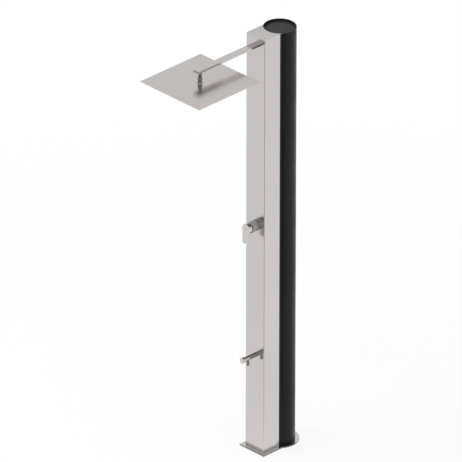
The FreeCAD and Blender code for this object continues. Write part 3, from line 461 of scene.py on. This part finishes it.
def spray_nozzles():
    """Rows of soft nozzles, each with a drilled tip."""
    low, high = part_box("head_nozzles")
    radius = NOZZLE_PROFILE[1][0] * MILLIMETRE
    step = (high.x - low.x - 2 * radius) / (NOZZLES_IN_A_ROW - 1)
    shape = lathe(NOZZLE_PROFILE, NOZZLE_SEGMENTS)
    first = shape.verts[:] + shape.edges[:] + shape.faces[:]
    for column in range(NOZZLES_IN_A_ROW):
        for row in range(NOZZLES_IN_A_ROW):
            copied = bmesh.ops.duplicate(shape, geom=first)["geom"]
            verts = [item for item in copied if isinstance(item, bmesh.types.BMVert)]
            place = (low.x + radius + column * step, low.y + radius + row * step, high.z)
            bmesh.ops.translate(shape, verts=verts, vec=place)
    bmesh.ops.delete(shape, geom=[item for item in first if isinstance(item, bmesh.types.BMVert)],
                     context="VERTS")
    add_piece("spray_nozzles", shape, "head_nozzles")


def swivel_ring():
    """The swivel nut as a ring with grip ridges between two plain rims."""
    low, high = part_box("head_swivel_nut")
    radius = (high.x - low.x) / 2 / MILLIMETRE
    height = (high.z - low.z) / MILLIMETRE
    rim = radius - NUT_RIDGE_DEPTH * 2
    mouth = radius * NUT_MOUTH_OF_RADIUS
    profile = [(mouth, 0), (rim, 0), (radius, NUT_RIDGE_DEPTH),
               (radius, height - NUT_RIDGE_DEPTH * 2), (rim, height), (mouth, height), (mouth, 0)]
    shape = lathe(profile, NUT_RIDGES * NUT_SEGMENTS_A_RIDGE)
    side_radius = (radius - NUT_SIDE_BAND) * MILLIMETRE
    side = [edge for edge in shape.edges
            if all(math.hypot(vert.co.x, vert.co.y) > side_radius for vert in edge.verts)
            and abs(edge.verts[0].co.z - edge.verts[1].co.z) > height / 2 * MILLIMETRE]
    shrink = 1 - NUT_RIDGE_DEPTH / radius
    for edge in side:
        angle = math.atan2(edge.verts[0].co.y, edge.verts[0].co.x)
        if math.cos(angle * NUT_RIDGES) < 0:
            bmesh.ops.scale(shape, vec=(shrink, shrink, 1), verts=edge.verts[:])
    middle = (low + high) / 2
    bmesh.ops.translate(shape, verts=shape.verts, vec=(middle.x, middle.y, low.z))
    add_piece("swivel_ring", shape, "head_swivel_nut")


def foot_weld():
    """The weld bead round the column's foot: rings with mitred corners, closed at both ends."""
    low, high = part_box("column_shell")
    rear = high.y - WELD_END * MILLIMETRE
    corners = [(low.x, rear, -1, 0), (low.x, low.y, -1, -1),
               (high.x, low.y, 1, -1), (high.x, rear, 1, 0)]
    shape = bmesh.new()
    rings = []
    for x, y, side, ahead in corners:
        ring = []
        for step in range(WELD_SEGMENTS):
            turn = math.tau * step / WELD_SEGMENTS
            out = WELD_RADIUS * MILLIMETRE * math.cos(turn)
            up = WELD_RADIUS * MILLIMETRE * math.sin(turn)
            ring.append(shape.verts.new((x + side * out, y + ahead * out, low.z + up)))
        rings.append(ring)
    for ring, following in zip(rings, rings[1:]):
        for step in range(WELD_SEGMENTS):
            shape.faces.new((ring[step - 1], ring[step], following[step], following[step - 1]))
    shape.faces.new(rings[0])
    shape.faces.new(rings[-1])
    bmesh.ops.recalc_face_normals(shape, faces=shape.faces)
    weld = new_object("foot_weld", shape, SLOT_MATERIALS["zinc_steel"])
    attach(weld, body_of("column_shell"))


for node, rounding in EDGE_ROUNDING.items():
    soften(node, rounding)
spray_nozzles()
swivel_ring()
foot_weld()

# ---- studio -----------------------------------------------------------------------------

FLOOR_SIDE = 16
FLOOR_DEPTH = 0.0005
FLOOR_COLOUR = (0.96, 0.96, 0.96)
FLOOR_GLOW = 0.85
FLOOR_GLOW_FROM = 1
FLOOR_GLOW_WHOLE_FROM = 3.5
# Painted reflection: the floor's glow as shiny pieces see it, brighter near and to the right.
FLOOR_NEAR_IN_METAL = 1.05
FLOOR_FAR_IN_METAL = 0.99
FLOOR_FAR = 4.0
FLOOR_LEFT_IN_METAL = 0.985
FLOOR_RIGHT_IN_METAL = 1.045
FLOOR_SIDE_REACH = 1.5
# Painted shade in that reflection: a darker wedge of floor toward the camera.
PAINTED_SHADE_IN_METAL = 0.3
PAINTED_SHADE_START = math.cos(math.radians(52))
PAINTED_SHADE_END = math.cos(math.radians(28))
PAINTED_SHADE_SETBACK = 0.1
WORLD_LIGHT = 0.75
SKY_IN_METAL = 0.92
ZENITH_IN_METAL = 0.25
ZENITH_START = 0.52
ZENITH_END = 0.66
KEY_PLACE = (-1.8, -2.6, 4.2)
KEY_AIM = (0, -0.2, 1.0)
KEY_SIZE = 3.0
KEY_POWER = 90


def floor_sheet():
    mesh = bpy.data.meshes.new("floor")
    sheet = bmesh.new()
    bmesh.ops.create_grid(sheet, x_segments=1, y_segments=1, size=FLOOR_SIDE / 2)
    bmesh.ops.translate(sheet, verts=sheet.verts, vec=(0, 0, -FLOOR_DEPTH))
    sheet.to_mesh(mesh)
    sheet.free()
    floor = bpy.data.objects.new("floor", mesh)
    bpy.context.scene.collection.objects.link(floor)
    return floor


def painted_floor_reflection(finish, place, reach):
    """How bright shiny pieces see the floor, a painted reflection: near even, with a wedge of
    painted shade toward the camera.
    """
    azimuth = math.radians(VIEW_AZIMUTH)
    camera_side = Vector((math.sin(azimuth), -math.cos(azimuth), 0))
    camera_right = (math.cos(azimuth), math.sin(azimuth), 0)
    column_low, column_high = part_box("column_shell")
    corner = Vector((column_high.x, column_low.y, 0)) + camera_side * PAINTED_SHADE_SETBACK
    heading = finish.vector("NORMALIZE", finish.vector("SUBTRACT", place, corner))
    # Painted shade: shiny pieces see the floor darker within a wedge toward the camera.
    wedge = finish.ranged(finish.vector("DOT_PRODUCT", heading, camera_side),
                          (PAINTED_SHADE_START, PAINTED_SHADE_END), (1, PAINTED_SHADE_IN_METAL),
                          interpolation_type="SMOOTHSTEP")
    fall = finish.ranged(reach, (0, FLOOR_FAR), (FLOOR_NEAR_IN_METAL, FLOOR_FAR_IN_METAL))
    sideways = finish.ranged(finish.vector("DOT_PRODUCT", place, camera_right),
                             (-FLOOR_SIDE_REACH, FLOOR_SIDE_REACH),
                             (FLOOR_LEFT_IN_METAL, FLOOR_RIGHT_IN_METAL))
    return finish.calculate("MULTIPLY", wedge, finish.calculate("MULTIPLY", fall, sideways))


def stage_floor():
    """A white floor. The camera sees it glow, fully in the distance, where it hides the horizon."""
    finish = Finish("floor_white", FLOOR_COLOUR, roughness=0.9)
    rays = finish.node("ShaderNodeLightPath").outputs
    place = finish.place()
    reach = finish.vector("LENGTH", place)
    glow = finish.node("ShaderNodeEmission")
    # Painted reflection: the floor's glow in shiny pieces, with painted shade and gradients.
    painted_reflection_strength = painted_floor_reflection(finish, place, reach)
    finish.feed(WHITE, glow.inputs["Color"])
    finish.feed(finish.either(rays["Is Glossy Ray"], 1, painted_reflection_strength), glow.inputs["Strength"])
    seen = finish.calculate("MULTIPLY", rays["Is Camera Ray"],
                            finish.ranged(reach, (FLOOR_GLOW_FROM, FLOOR_GLOW_WHOLE_FROM),
                                          (FLOOR_GLOW, 1)))
    clear = finish.calculate("MAXIMUM", rays["Is Glossy Ray"], rays["Is Transmission Ray"])
    mixed = finish.node("ShaderNodeMixShader")
    finish.feed(finish.calculate("MAXIMUM", seen, clear), mixed.inputs["Fac"])
    finish.feed(finish.shader.outputs["BSDF"], mixed.inputs[1])
    finish.feed(glow.outputs["Emission"], mixed.inputs[2])
    surface = finish.tree.nodes["Material Output"].inputs["Surface"]
    finish.feed(mixed.outputs["Shader"], surface)
    dress(floor_sheet(), finish.material)


def light_world():
    """An even white world, which shiny pieces see with a dark zenith."""
    world = bpy.data.worlds.new("studio")
    bpy.context.scene.world = world
    world.use_nodes = True
    nodes = Nodes(world.node_tree)
    sky = world.node_tree.nodes["Background"]
    rays = nodes.node("ShaderNodeLightPath").outputs
    direction = nodes.node("ShaderNodeTexCoord")
    height = nodes.node("ShaderNodeSeparateXYZ")
    nodes.feed(direction.outputs["Generated"], height.inputs["Vector"])
    mirrored = nodes.ranged(height.outputs["Z"], (ZENITH_START, ZENITH_END),
                            (SKY_IN_METAL, ZENITH_IN_METAL), interpolation_type="SMOOTHSTEP")
    seen = nodes.calculate("MAXIMUM", rays["Is Camera Ray"], rays["Is Transmission Ray"])
    plain = nodes.ranged(seen, (0, 1), (WORLD_LIGHT, 1))
    nodes.feed(WHITE, sky.inputs["Color"])
    nodes.feed(nodes.either(rays["Is Glossy Ray"], plain, mirrored), sky.inputs["Strength"])


def key_lamp():
    """One wide lamp from the front left, which shiny pieces don't mirror."""
    data = bpy.data.lights.new("key_lamp", "AREA")
    data.shape = "DISK"
    data.size = KEY_SIZE
    data.energy = KEY_POWER
    lamp = bpy.data.objects.new("key_lamp", data)
    bpy.context.scene.collection.objects.link(lamp)
    lamp.location = KEY_PLACE
    lamp.rotation_mode = "QUATERNION"
    lamp.rotation_quaternion = (Vector(KEY_AIM) - Vector(KEY_PLACE)).to_track_quat("-Z", "Y")
    lamp.visible_glossy = False


stage_floor()
light_world()
key_lamp()
bpy.context.scene.view_settings.view_transform = "Standard"
